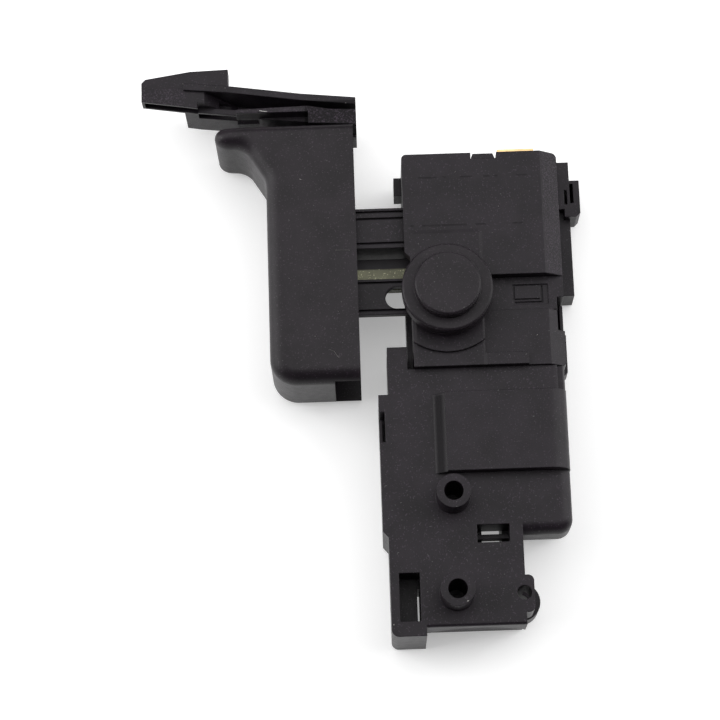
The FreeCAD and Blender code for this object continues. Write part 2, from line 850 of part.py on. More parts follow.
def module_rear_case():
    """The electronics module's rear half, with pillars for the board and the mounting ear."""
    case = new_body("RearCase")
    pad(case, "RearBlock", outline(module_outline(s.rear_leg_top, s.rear_bottom)), 0, s.module_split)
    corner = [(s.module_right, -s.rear_leg_top)]
    dress(case, "RearCorner", "Fillet", upright_at(corner), {"Radius": s.module_round})
    module_foot(case, "RearFoot", 0, s.module_split)
    pad(case, "Ear", disc(s.ear_x, -s.ear_y, s.ear_radius), 0, s.ear_thickness)
    pocket(case, "EarHole", disc(s.ear_x, -s.ear_y, s.ear_hole), -PAST, s.module_split + PAST)
    pocket(case, "RearCavity", rectangle(cavity_x, cavity_y), s.wall, s.module_split + PAST)
    for index, (x, y) in enumerate(pillars):
        pad(case, f"Pillar{index}", disc(x, y, s.pillar_radius), s.wall - TINY, s.board_back)
    clearance = rectangle((-s.module_left - PAST, left - PAST), (-s.module_shoulder, top))
    pocket(case, "TriggerClearance", clearance, -PAST, s.module_corner_back)
    gap = rectangle((slot_two_x[1] - s.slot_two_gap, slot_two_x[1]),
                    (slot_two_y[0], slot_two_y[1] - s.slot_two_gap_drop))
    pocket(case, "SlotTwoGap", gap, -PAST, s.module_split + PAST)
    hole = rectangle((slot_one_x[0] + s.slot_one_rim, slot_one_x[1] - s.slot_one_rim),
                     (slot_one_y[0], -s.slot_one_hole_top))
    pocket(case, "SlotOneHole", hole, -PAST, s.module_split + PAST)
    tab_y = (-s.side_window_top - s.side_window_height + s.side_tab_inset, -s.side_window_top - s.side_tab_inset)
    tab = rectangle((-s.module_left, -s.module_left + s.side_tab), tab_y)
    pad(case, "SideTab", tab, s.module_split - PAST, s.module_split + s.side_tab_height)
    keep(case, "module_rear_case")


def module_front_case():
    """The module's front half: raised rectangle, two bosses, two slots and the rounded right side."""
    case = new_body("FrontCase")
    split_level = s.module_split
    face = s.module_depth
    above = s.boss_top + PAST
    pad(case, "FrontBlock", outline(module_outline(s.module_leg_top, s.module_bottom)), split_level, face)
    corner = [(s.module_right, -s.module_leg_top)]
    dress(case, "FrontCorner", "Fillet", upright_at(corner), {"Radius": s.module_round})
    module_foot(case, "Foot", split_level, face)
    tab_x = (s.module_leg_right - TINY, s.ear_front_right)
    tab_y = (-s.ear_y - s.ear_front_down, -s.ear_y + s.ear_front_up)
    pad(case, "EarFront", rectangle(tab_x, tab_y), split_level, face)
    dress(case, "EarFrontCorners", "Fillet", upright_at([(tab_x[1], y) for y in tab_y]),
          {"Radius": s.ear_front_round})

    def bottom_edge(point):
        return abs(point.y + s.module_bottom.value) < TINY
    dress(case, "LowEdge", "Fillet", level_at(face, bottom_edge), {"Radius": s.low_edge_round})
    arch = disc(s.arch_x, s.arch_top - s.arch_radius, s.arch_radius)
    pocket(case, "BottomArch", arch, s.rear_bottom, s.module_bottom + PAST, "XZ_Plane")

    def right_edge(point):
        return abs(point.x - s.module_right.value) < TINY
    side_round = s.module_edge_round
    dress(case, "SideEdge", "Fillet", level_at(face, right_edge), {"Radius": side_round})
    raised_x = (-s.raised_left, s.module_right)
    raised_y = (-s.raised_bottom, -s.raised_top)
    raised_top = face + s.raised_height
    pad(case, "RaisedPanel", rectangle(raised_x, raised_y), face - side_round, raised_top)
    raised_edge = level_at(raised_top, right_edge)
    dress(case, "RaisedEdge", "Fillet", raised_edge, {"Radius": side_round + s.raised_height / 2})
    ramp = [
        (-s.raised_left - s.ramp_width, face - TINY),
        (-s.raised_left, face - TINY),
        (-s.raised_left, face + s.raised_height * 0.6),
    ]
    pad(case, "RaisedRamp", outline(ramp), s.raised_top, s.raised_bottom, "XZ_Plane")
    strip = rectangle((s.module_right - s.shoulder_strip, s.module_right + PAST), (-s.raised_top, bottom + PAST))
    pocket(case, "ShoulderStrip", strip, face - s.shoulder_drop, above)

    for index, (x, y) in enumerate(bosses):
        pad(case, f"Boss{index}", disc(x, y, s.boss_radius), face - TINY, s.boss_top)
    pocket(case, "FrontCavity", rectangle(cavity_x, cavity_y), split_level - PAST, face - s.wall)
    for index, (x, y) in enumerate(bosses):
        pad(case, f"BossTube{index}", disc(x, y, s.boss_radius - TINY), split_level, face)
        pocket(case, f"BossBore{index}", disc(x, y, s.boss_bore), s.boss_top - s.boss_bore_depth, above)
    pocket(case, "EarFrontHole", disc(s.ear_x, -s.ear_y, s.ear_hole), split_level - PAST, above)
    pocket(case, "SlotOne", rectangle(slot_one_x, slot_one_y), split_level - PAST, above)
    bar_y = slot_one_y[1] - s.slot_one_bar_drop
    bar = rectangle((slot_one_x[0] - TINY, slot_one_x[1] + TINY), (bar_y - s.slot_one_bar, bar_y))
    pad(case, "SlotOneBar", bar, split_level, split_level + s.slot_one_bar_height)
    pocket(case, "SlotTwo", rectangle(slot_two_x, slot_two_y), split_level - PAST, above)
    window_y = (-s.side_window_top - s.side_window_height, -s.side_window_top)
    window = rectangle((-s.module_left - PAST, -s.module_left + s.side_window_depth), window_y)
    pocket(case, "SideWindow", window, split_level - PAST, above)
    keep(case, "module_front_case")


def side_bracket():
    """The bracket along the body's right side: an upright wall on a floor, with a slotted loop."""
    bracket = new_body("Bracket")
    wall_left = right + s.bracket_gap
    wall_right = wall_left + s.bracket_wall
    back = s.trigger_back
    floor = rectangle((right, wall_right), (s.bracket_bottom, s.bracket_top))
    pad(bracket, "BracketFloor", floor, back, back + s.bracket_floor)
    upper = rectangle((wall_left, wall_right), (s.bracket_waist, s.bracket_top))
    pad(bracket, "BracketUpper", upper, back, s.bracket_height)
    lower = rectangle((wall_left, wall_right), (s.bracket_bottom, s.bracket_waist + TINY))
    pad(bracket, "BracketLower", lower, back, s.bracket_height - s.bracket_step)
    loop_low = s.loop_top - s.loop_length
    reach = wall_right + s.loop_reach
    loop = [
        (wall_right - s.bracket_wall / 2, s.loop_top),
        (wall_right - s.bracket_wall / 2, loop_low),
        (reach - s.loop_wall, loop_low),
        (reach, loop_low + s.loop_wall),
        (reach, s.loop_top),
    ]
    pad(bracket, "Loop", outline(loop), s.loop_back, s.bracket_height)
    slot_top = s.loop_top - s.loop_slot_drop
    slot = rectangle((wall_right, wall_right + s.loop_slot_width), (slot_top - s.loop_slot_length, slot_top))
    pocket(bracket, "LoopSlot", slot, s.loop_back + s.loop_floor, s.bracket_height + PAST)
    hole_right = wall_right - s.loop_hole_inset
    hole_top = s.loop_top - s.loop_hole_drop
    hole = rectangle((hole_right - s.loop_hole_width, hole_right), (hole_top - s.loop_hole_length, hole_top))
    pocket(bracket, "LoopHole", hole, -PAST, s.bracket_height + PAST)
    keep(bracket, "side_bracket")


def trigger_profile(inset, open_right):
    """The trigger's side profile moved inwards by inset, with its right side at open_right."""
    top_y = s.trigger_top - inset
    face_x = trigger_left + inset
    tip_x = -s.hook_tip + inset
    under_y = s.trigger_top - s.hook_thickness + inset
    return [
        (open_right, top_y),
        (tip_x, top_y),
        (tip_x, under_y),
        (face_x - s.hook_under_left, under_y - 0.4),
        (face_x, s.trigger_top - s.hook_thickness - s.hook_throat),
        (face_x, -s.trigger_bottom + inset),
        (open_right, -s.trigger_bottom + inset),
    ]


def trigger_shell():
    """The finger trigger: a hollow, hooked shell open towards the body."""
    shell = new_body("TriggerShell")
    points = trigger_profile(length(0), trigger_end)
    pad(shell, "Trigger", outline(points), s.trigger_back, trigger_front)
    dress(shell, "HookUnder", "Fillet", upright_at([points[2]]), {"Radius": s.hook_under_round})
    dress(shell, "Throat", "Fillet", upright_at([points[3], points[4]]), {"Radius": s.throat_round})
    dress(shell, "Toe", "Fillet", upright_at([points[5]]), {"Radius": s.trigger_toe_round})

    def off_the_end(point):
        return point.x < trigger_end.value - TINY
    rim_front = level_at(trigger_front, lambda p: off_the_end(p) and p.y < s.trigger_top.value - TINY)
    rim_back = level_at(s.trigger_back, lambda p: off_the_end(p) and p.y < s.trigger_top.value - TINY)
    dress(shell, "FaceRound", "Fillet", lambda e: rim_front(e) or rim_back(e), {"Radius": s.trigger_round})
    dress(shell, "HookTop", "Fillet", upright_at([points[1]]), {"Radius": s.hook_top_round})

    inner = trigger_profile(s.trigger_wall, trigger_end + PAST)
    hollow = [inner[0], (trigger_inner, inner[0][1]), inner[5], inner[6]]
    low = s.trigger_back + s.trigger_wall
    high = trigger_front - s.trigger_wall
    pocket(shell, "TriggerHollow", outline(hollow), low, high)
    notch = rectangle((trigger_end - s.trigger_notch, trigger_end + PAST),
                      (-s.trigger_bottom - PAST, -s.trigger_bottom + s.trigger_wall * 1.6))
    pocket(shell, "TriggerNotch", notch, low, high)
    bore_low = s.trigger_top - s.trigger_wall - TINY
    pin_bore = rod("PinBore", "Y", s.pivot_radius + s.pivot_fit,
                   (-s.pivot_x, bore_low, lever_middle), s.trigger_wall + PAST)
    ball_bore = rod("BallBore", "Y", detent_radius + s.pivot_fit,
                    (-detent_x, bore_low, lever_middle), s.trigger_wall + PAST)
    well = rod("DetentTube", "Y", detent_radius + s.pivot_fit + s.detent_tube_wall,
               (-detent_x, s.trigger_top - s.detent_depth, lever_middle), s.detent_depth - TINY * 4)
    well_bore = rod("DetentBore", "Y", detent_radius + s.pivot_fit,
                    (-detent_x, s.trigger_top - s.detent_depth + s.detent_tube_wall, lever_middle), s.detent_depth)
    housing = cut("TriggerBored", join("TriggerWithTube", [shell, well]), [pin_bore, ball_bore, well_bore])
    keep(housing, "trigger_shell")


lever_middle = s.trigger_back + s.trigger_width / 2
lever_foot = s.trigger_top + s.lever_gap
detent_radius = s.pivot_radius - s.detent_slack
detent_x = s.lever_tail_left + s.detent_offset


def grooved_bar(name, x, y, z, groove_places):
    """A guide bar along X whose front face carries narrow grooves."""
    bar = box(name + "Bar", x, y, z)
    cuts = []
    for index, place_y in enumerate(groove_places):
        groove = box(f"{name}Groove{index}", (length(x[0]) - PAST, length(x[1]) + PAST),
                     (place_y, place_y + s.bar_groove), (z[1] - s.bar_groove_depth, z[1] + PAST))
        cuts.append(groove)
    return cut(name + "Grooved", bar, cuts)


def plunger():
    """The plunger: a root block in the trigger, a grooved upper bar and a slotted lower plate."""
    root = box("PlungerRoot", (trigger_inner, root_right), (-s.root_low, s.bar_high + 1),
               (s.root_back, s.bar_front))
    upper = grooved_bar("Upper", (root_right - TINY, s.bar_end), (s.bar_low, s.bar_high),
                        (s.bar_back, s.bar_front),
                        [s.bar_low + 0.7, s.bar_high - 2.0, s.bar_high - 0.8])
    plate_end = s.slot_right + s.plate_end_rim
    lower = grooved_bar("Lower", (root_right - TINY, plate_end), (-s.plate_low, s.plate_high),
                        (s.plate_back, plate_front), [-s.plate_low + 0.6, s.plate_high - 0.8])
    half = (s.slot_low + s.slot_high) / 2
    middle = (s.slot_high - s.slot_low) / 2
    nose = rod("SlotNose", "Z", half, (-s.slot_left + half, middle, s.plate_back - PAST),
               s.plate_thickness + PAST * 2)
    slot = box("SlotRun", (-s.slot_left + half, s.slot_right), (-s.slot_low, s.slot_high),
               (s.plate_back - PAST, plate_front + PAST))
    bore = rod("PlungerBore", "X", s.spring_bore, (s.bar_end - s.spring_bore_depth, bar_middle, bar_centre),
               s.spring_bore_depth + PAST)
    solid = join("PlungerSolid", [root, upper, lower])
    keep(cut("PlungerCut", solid, [nose, slot, bore]), "plunger")


def lock_slider():
    """The cream nylon slider that the pressed lock button catches."""
    bar = box("SliderBar", (root_right, s.slider_end), (s.slider_low, s.slider_high),
              (s.slider_back, s.slider_back + s.slider_thickness))
    catch = box("SliderCatch", (s.slider_end - 3, s.slider_end - 1.5), (s.slider_low - 0.01, s.slider_low + 1.2),
                (s.slider_back - PAST, s.slider_back + s.slider_thickness + PAST))
    keep(cut("SliderCut", bar, [catch]), "lock_slider")


def lock_button():
    """The lock-on button: cap, flange, hollow underside, and a stem with its foot under the plate."""
    button = new_body("Button")
    flange_low = s.flange_top - s.flange_height
    foot_top = s.plate_back - s.foot_gap
    profile = [
        (0, foot_top - s.stem_foot_height),
        (s.stem_radius, foot_top - s.stem_foot_height),
        (s.stem_radius, s.button_recess_top),
        (s.button_recess_radius, s.button_recess_top),
        (s.button_recess_radius, flange_low),
        (s.flange_radius, flange_low),
        (s.flange_radius, s.flange_top),
        (s.cap_radius, s.flange_top),
        (s.cap_radius, s.cap_top),
        (0, s.cap_top),
    ]
    sketch = sketch_on(button, "ButtonProfile", 0, "XZ_Plane")
    polygon(sketch, profile)
    turned = button.newObject("PartDesign::Revolution", "ButtonTurned")
    turned.Profile = sketch
    turned.ReferenceAxis = (sketch, ["V_Axis"])
    turned.Angle = 360
    button.Tip = turned

    def rims(edge):
        circles = [(s.cap_radius, s.cap_top), (s.flange_radius, s.flange_top)]
        if edge.Curve.TypeId != "Part::GeomCircle":
            return False
        return any(abs(edge.Curve.Radius - r.value) < TINY and abs(edge.CenterOfMass.z - z.value) < TINY
                   for r, z in circles)
    dress(button, "ButtonRims", "Fillet", rims, {"Radius": s.button_round})
    foot_y = s.stem_radius * 0.75
    foot = rectangle((-s.stem_foot_reach, 0), (-foot_y, foot_y))
    pad(button, "StemFoot", foot, foot_top - s.stem_foot_height, foot_top)
    keep(button, "lock_button")


def direction_lever():
    """The direction lever: slotted nose, two flanges, ramped floor, slotted lower rim and tail block."""
    lever = new_body("Lever")
    foot = lever_foot
    left_x = -s.lever_left
    right_x = -s.lever_right
    tail_x = -s.lever_tail_left
    block_x = -s.lever_block_right
    rim = [
        (left_x, foot + s.lever_rim_left),
        (block_x, foot + s.lever_rim_start),
        (-s.lever_rim_bend_x, foot + s.lever_rim_bend),
        (-s.lever_rim_low_x, foot + s.lever_rim_low),
        (tail_x, foot + s.lever_rim_end),
    ]
    flange_top = [
        (right_x, foot + s.lever_flange_right),
        (-s.lever_bend_two_x, foot + s.lever_bend_two),
        (-s.lever_bend_one_x, foot + s.lever_bend_one),
        (left_x, foot + s.lever_flange_left),
    ]
    flange_low = [(x, y - s.lever_flange) for x, y in flange_top]
    web = rim + [(right_x, foot + s.lever_mid_low)] + flange_top
    pad(lever, "LeverWeb", outline(web), s.lever_back, s.lever_deck)
    above = s.lever_front + PAST
    ramp = [
        (-s.lever_ramp_top, s.lever_deck),
        (-s.lever_ramp_foot, s.lever_floor),
        (right_x + PAST, s.lever_floor),
        (right_x + PAST, above),
        (-s.lever_ramp_top, above),
    ]
    pocket(lever, "LeverRamp", outline(ramp), -foot - s.nose_top, -s.trigger_top, "XZ_Plane")
    inner_rim = [(x, y + s.lever_ledge_width) for x, y in reversed(rim[1:])]
    outer_rim = [(x, y - PAST) for x, y in rim[1:]]
    pocket(lever, "LedgeStep", outline(outer_rim + inner_rim), s.lever_ledge, above)
    pad(lever, "LeverLedge", outline(rim[1:] + inner_rim), s.lever_back, s.lever_ledge)
    pad(lever, "TopFlange", outline(flange_top + list(reversed(flange_low))), s.lever_back, s.lever_front)
    mid_low = foot + s.lever_mid_low
    mid = [
        (-s.lever_mid_left, mid_low),
        (right_x, mid_low),
        (right_x, foot + s.lever_mid_right),
        (-s.lever_mid_dip_x, foot + s.lever_mid_dip),
        (tail_x, foot + s.lever_mid_bend),
        (-s.lever_mid_left, foot + s.lever_mid_start),
    ]
    pad(lever, "MidFlange", outline(mid), s.lever_back, s.lever_front)
    tail = [
        (tail_x, foot + s.lever_tail_low),
        (right_x, foot + s.lever_tail_end),
        (right_x, mid_low + TINY),
        (tail_x, mid_low + TINY),
    ]
    pad(lever, "TailBlock", outline(tail), s.lever_back, s.lever_front)
    heel = rectangle((-s.lever_foot_left, right_x), (foot, foot + s.lever_foot_height))
    pad(lever, "LeverFoot", heel, s.lever_back, s.lever_foot_front)

    nose = [
        (-s.nose_left, foot + s.nose_low),
        (left_x, foot + s.lever_rim_left),
        (left_x + s.nose_plate, foot + s.lever_rim_left),
        (left_x + s.nose_plate, foot + s.lever_bend_one - s.lever_flange / 2),
        (-s.nose_right, foot + s.lever_bend_one - s.lever_flange / 2),
        (-s.nose_right, foot + s.nose_top),
        (-s.nose_shoulder_x, foot + s.nose_shoulder),
        (-s.nose_left + s.nose_corner, foot + s.nose_tip + s.nose_corner),
        (-s.nose_left, foot + s.nose_tip),
    ]
    pad(lever, "Nose", outline(nose), s.nose_back, s.lever_deck)
    slot_low = [(-s.nose_left + s.nose_plate, foot + s.nose_low), rim[0], rim[1]]
    nose_slot = [(x, y - PAST) for x, y in slot_low]
    nose_slot += [(x, y + s.lever_slot_depth) for x, y in reversed(slot_low)]
    nose_z = (s.nose_back + s.nose_plate, s.lever_deck - s.nose_plate)
    pocket(lever, "NoseSlot", outline(nose_slot), *nose_z)
    slot_end = (-s.lever_slot_right, foot + s.lever_rim_low)
    rim_slot = [(x, y - PAST) for x, y in [rim[1], rim[2], slot_end]]
    rim_slot += [(x, y + s.lever_slot_depth) for x, y in [rim[2], rim[1]]]
    slot_z = (s.lever_slot_back, s.lever_slot_back + s.lever_slot_height)
    pocket(lever, "RimSlot", outline(rim_slot), *slot_z)
    pin = rod("LeverPinBore", "Y", s.pivot_radius, (-s.pivot_x, foot - PAST, lever_middle), PAST + s.pin_rise)
    keep(cut("LeverBored", lever, [pin]), "direction_lever")
    shaft = rod("PivotShaft", "Y", s.pivot_radius, (-s.pivot_x, s.trigger_top - s.pivot_depth, lever_middle),
                s.pivot_depth + s.lever_gap + s.pin_rise)
    keep(shaft, "lever_pivot_pin")


def detent():
    """The ball and spring that hold the lever in its middle place."""
    ball = DOC.addObject("Part::Sphere", "Ball")
    bind(ball, {"Radius": detent_radius - s.ball_slack})
    place(ball, -detent_x, s.trigger_top - detent_radius, lever_middle)
    keep(ball, "detent_ball")
    spring_foot = s.trigger_top - s.detent_depth + s.detent_tube_wall
    spring_top = s.trigger_top - detent_radius * 2
    spring("detent_spring", (-detent_x, spring_foot, lever_middle), TURNS["Y"], spring_top - spring_foot,
           detent_radius - s.spring_wire, s.detent_turns)


def springs():
    """The trigger's return spring and the lock button's spring."""
    rest = seat_left - (s.bar_end - s.spring_bore_depth)
    spring("return_spring", (s.bar_end - s.spring_bore_depth, bar_middle, bar_centre), TURNS["X"], rest,
           s.return_radius, s.return_turns)
    spring("button_spring", (0, 0, front), TURNS["Z"], s.button_recess_top - front,
           s.button_spring_radius, s.button_turns)


def contacts():
    """The contact carrier, its bridge and pads, and the fixed terminals with theirs."""
    middle_y = s.bar_high + s.carrier_width / 2
    carrier_end = s.carrier_length
    carrier_z = (s.carrier_back, s.carrier_back + s.carrier_height)
    centre = contact_centre
    block = box("CarrierBlock", (0, carrier_end), (s.bar_high, s.bar_high + s.carrier_width), carrier_z)
    stem = rod("CarrierStem", "X", s.stem_thickness, (carrier_end - TINY, middle_y, centre), s.bridge_gap + 1)
    keep(join("CarrierSolid", [block, stem]), "contact_carrier")

    bridge_x = carrier_end + s.bridge_gap
    bridge_z = (centre - s.bridge_height / 2, centre + s.bridge_height / 2)
    bridge_y = (middle_y - s.carrier_width * 0.45, middle_y + s.carrier_width * 0.45)
    plate = box("BridgePlate", (bridge_x, bridge_x + s.bridge_thickness), bridge_y, bridge_z)
    hole = rod("BridgeHole", "X", s.bridge_hole, (bridge_x - PAST, middle_y, centre), PAST * 2)
    keep(cut("BridgeCut", plate, [hole]), "contact_bridge")
    spring("bridge_spring", (carrier_end, middle_y, centre), TURNS["X"], s.bridge_gap,
           s.bridge_spring_radius, s.bridge_spring_turns)

    pad_x = bridge_x + s.bridge_thickness
    fixed_x = pad_x + s.pad_thickness + s.trigger_travel + s.contact_gap
    plate_x = (fixed_x + s.pad_thickness, fixed_x + s.pad_thickness + s.terminal_thickness)
    for name, height in (("lower", bridge_z[0] + s.pad_radius), ("upper", bridge_z[1] - s.pad_radius)):
        moving = rod(f"MovingPad{name}", "X", s.pad_radius, (pad_x, middle_y, height), s.pad_thickness)
        keep(moving, f"moving_pad_{name}")
        fixed = rod(f"FixedPad{name}", "X", s.pad_radius, (fixed_x, middle_y, height), s.pad_thickness)
        keep(fixed, f"fixed_pad_{name}")

    plate_y = (bridge_y[0], inner_top)
    lower_z = (bridge_z[0], bridge_z[0] + s.pad_radius * 2)
    sheet = s.terminal_thickness
    upper_plate = box("UpperPlate", plate_x, plate_y, upper_strip_z)
    strip_x = (s.tongue_left, plate_x[1])
    strip = box("UpperStrip", strip_x, (inner_top - sheet, inner_top), upper_strip_z)
    tongue = box("Tongue", (s.tongue_left, s.tongue_left + s.tongue_width),
                 (inner_top - sheet, top + s.tongue_proud), tongue_z)
    keep(join("MotorTerminal", [upper_plate, strip, tongue]), "motor_terminal")
    lower_plate = box("LowerPlate", plate_x, plate_y, lower_z)
    lower_run = box("LowerRun", (s.bar_end, plate_x[1]), (inner_top - sheet, inner_top), lower_z)
    keep(join("LineTerminal", [lower_plate, lower_run]), "line_terminal")
    clip_x = (left + s.wall, left + s.wall + s.clip_size)
    clip_y = (inner_top - s.clip_size, inner_top)
    outer = box("ClipOuter", clip_x, clip_y, (s.wall, s.wall + s.clip_size))
    inner = box("ClipInner", (clip_x[0] + sheet, clip_x[1] - sheet), (clip_y[0] + sheet, clip_y[1] - sheet),
                (s.wall - PAST, s.wall + s.clip_size + PAST))
    keep(cut("ClipCut", outer, [inner]), "neutral_terminal")


def speed_control():
    """The speed track under the upper bar, and the wiper that the bar carries along it."""
    track = box("TrackBoard", (0, s.bar_end + s.trigger_travel), (bar_middle - PAST, bar_middle + PAST),
                (track_back, track_back + s.track_thickness))
    keep(track, "speed_track")
    blade_y = (bar_middle - s.wiper_width / 2, bar_middle + s.wiper_width / 2)
    blade = box("WiperBlade", (s.wiper_left, s.wiper_left + s.wiper_length), blade_y,
                (s.bar_back - s.wiper_sheet, s.bar_back))
    tip = box("WiperTip", (s.wiper_left, s.wiper_left + s.wiper_sheet), blade_y,
              (track_back + s.track_thickness + s.contact_gap, s.bar_back))
    keep(join("WiperBent", [blade, tip]), "wiper")


def electronics():
    """The circuit board with the triac and its heat sink, capacitor, resistors and chip."""
    board = box("BoardSheet", (-s.board_left, s.board_right), (-s.board_bottom, -s.board_top),
                (s.board_back, board_front))
    keep(board, "circuit_board")
    triac_x = (-s.board_left + 2, -s.board_left + 2 + s.triac_width)
    triac_y = (-s.board_top - 2 - s.triac_height, -s.board_top - 2)
    case = box("TriacCase", triac_x, triac_y, (board_front, board_front + s.triac_thickness))
    leads = []
    for index in range(3):
        lead_x = triac_x[0] + 2.5 + index * 2.5
        leads.append(box(f"TriacLead{index}", (lead_x - 0.4, lead_x + 0.4),
                         (triac_y[0] - 3, triac_y[0] + TINY), (board_front, board_front + 0.5)))
    keep(join("TriacSolid", [case] + leads), "triac")
    sink_low = board_front + s.triac_thickness
    sink_x = (triac_x[0] - s.sink_overhang, triac_x[1] + s.sink_overhang)
    plate = box("SinkPlate", sink_x, triac_y, (sink_low, sink_low + s.sink_thickness))
    flank = box("SinkFlank", (sink_x[1] - s.sink_thickness, sink_x[1]), triac_y,
                (board_front, sink_low + TINY))
    keep(join("SinkBent", [plate, flank]), "heat_sink")
    capacitor_x = (s.board_right - s.capacitor_width - 1, s.board_right - 1)
    capacitor_y = (-s.board_top - 2 - s.capacitor_length, -s.board_top - 2)
    body = new_body("CapacitorBody")
    pad(body, "CapacitorBlock", rectangle(capacitor_x, capacitor_y), board_front,
        board_front + s.capacitor_height)
    corners = [(x, y) for x in capacitor_x for y in capacitor_y]
    dress(body, "CapacitorCorners", "Fillet", upright_at(corners), {"Radius": s.corner_round})
    keep(body, "capacitor")
    for index in range(3):
        y = triac_y[0] - s.resistor_drop - s.resistor_pitch * index
        z = board_front + s.resistor_radius
        barrel = rod(f"ResistorBarrel{index}", "X", s.resistor_radius, (-s.board_left + s.resistor_inset, y, z),
                     s.resistor_length)
        wire = rod(f"ResistorWire{index}", "X", s.lead_radius, (-s.board_left + s.resistor_inset - s.resistor_wire, y, z),
                   s.resistor_length + s.resistor_wire * 2)
        keep(join(f"ResistorSolid{index}", [barrel, wire]), f"resistor_{index + 1}")
    chip_x = (s.chip_left, s.chip_left + s.chip_width)
    chip_y = (-s.board_bottom + 2, -s.board_bottom + 2 + s.chip_length)
    keep(box("ChipBlock", chip_x, chip_y, (board_front, board_front + s.chip_height)), "control_chip")


def check_and_write():
    """Recomputes, stops on any failed object or bad shape, and writes one file for each piece."""
    DOC.recompute()
    failed = [o.Name for o in DOC.Objects if "Invalid" in o.State or "Error" in o.State]
    if failed:
        raise ValueError(f"failed objects: {failed}")
    for piece in PARTS:
        if piece.Shape.isNull() or not piece.Shape.isValid() or not piece.Shape.Solids:
            raise ValueError(f"bad shape: {piece.Label}")
    os.makedirs("parts", exist_ok=True)
    for piece in PARTS:
        piece.Shape.exportStep(f"parts/{piece.Label}.step")
        print(f"{piece.Label}: {len(piece.Shape.Solids)} solid, {piece.Shape.Volume:.1f} mm3")


rear_housing()
front_cover()
module_rear_case()
module_front_case()
side_bracket()
trigger_shell()
plunger()
lock_slider()
lock_button()
direction_lever()
detent()
springs()
contacts()
speed_control()
electronics()
check_and_write()
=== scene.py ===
import math
import random

import bmesh
import bpy
from mathutils import Matrix, Vector
from mathutils.bvhtree import BVHTree


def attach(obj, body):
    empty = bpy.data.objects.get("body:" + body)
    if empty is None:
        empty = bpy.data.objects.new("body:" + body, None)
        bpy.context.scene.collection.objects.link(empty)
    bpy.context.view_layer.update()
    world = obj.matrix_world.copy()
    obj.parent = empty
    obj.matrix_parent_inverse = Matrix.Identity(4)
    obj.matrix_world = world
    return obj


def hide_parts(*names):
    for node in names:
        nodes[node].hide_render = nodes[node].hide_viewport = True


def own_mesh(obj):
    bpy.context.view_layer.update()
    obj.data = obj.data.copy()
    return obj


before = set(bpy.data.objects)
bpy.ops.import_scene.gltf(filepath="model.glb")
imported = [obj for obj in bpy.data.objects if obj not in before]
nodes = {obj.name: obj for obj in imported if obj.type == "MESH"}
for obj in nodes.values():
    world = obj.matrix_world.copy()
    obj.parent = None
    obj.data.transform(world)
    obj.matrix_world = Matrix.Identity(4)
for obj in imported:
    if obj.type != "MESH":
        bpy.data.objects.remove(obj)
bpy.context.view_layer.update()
MM = 0.001

# The photograph's camera. It looks down at the switch from its lower end, a little turned.
CAMERA_TILT = math.radians(14.9)
CAMERA_ROLL = math.radians(1.9)
CAMERA_DISTANCE = 400 * MM
CAMERA_LENS = 120
AIM = Vector((-15.01, -11.47, 19.0)) * MM


def camera():
    """The camera at the photograph's angle."""
    forward = Vector((0, math.sin(CAMERA_TILT), -math.cos(CAMERA_TILT)))
    level_up = Vector((0, math.cos(CAMERA_TILT), math.sin(CAMERA_TILT)))
    right = Vector((1, 0, 0)) * math.cos(CAMERA_ROLL) - level_up * math.sin(CAMERA_ROLL)
    up = Vector((1, 0, 0)) * math.sin(CAMERA_ROLL) + level_up * math.cos(CAMERA_ROLL)
    data = bpy.data.cameras.new("photo_camera")
    data.sensor_width = 36
    data.lens = CAMERA_LENS
    data.clip_start = 0.01
    data.clip_end = 10
    eye = bpy.data.objects.new("photo_camera", data)
    turn = Matrix((right, up, -forward)).transposed().to_4x4()
    eye.matrix_world = Matrix.Translation(AIM - forward * CAMERA_DISTANCE) @ turn
    bpy.context.scene.collection.objects.link(eye)
    bpy.context.scene.camera = eye


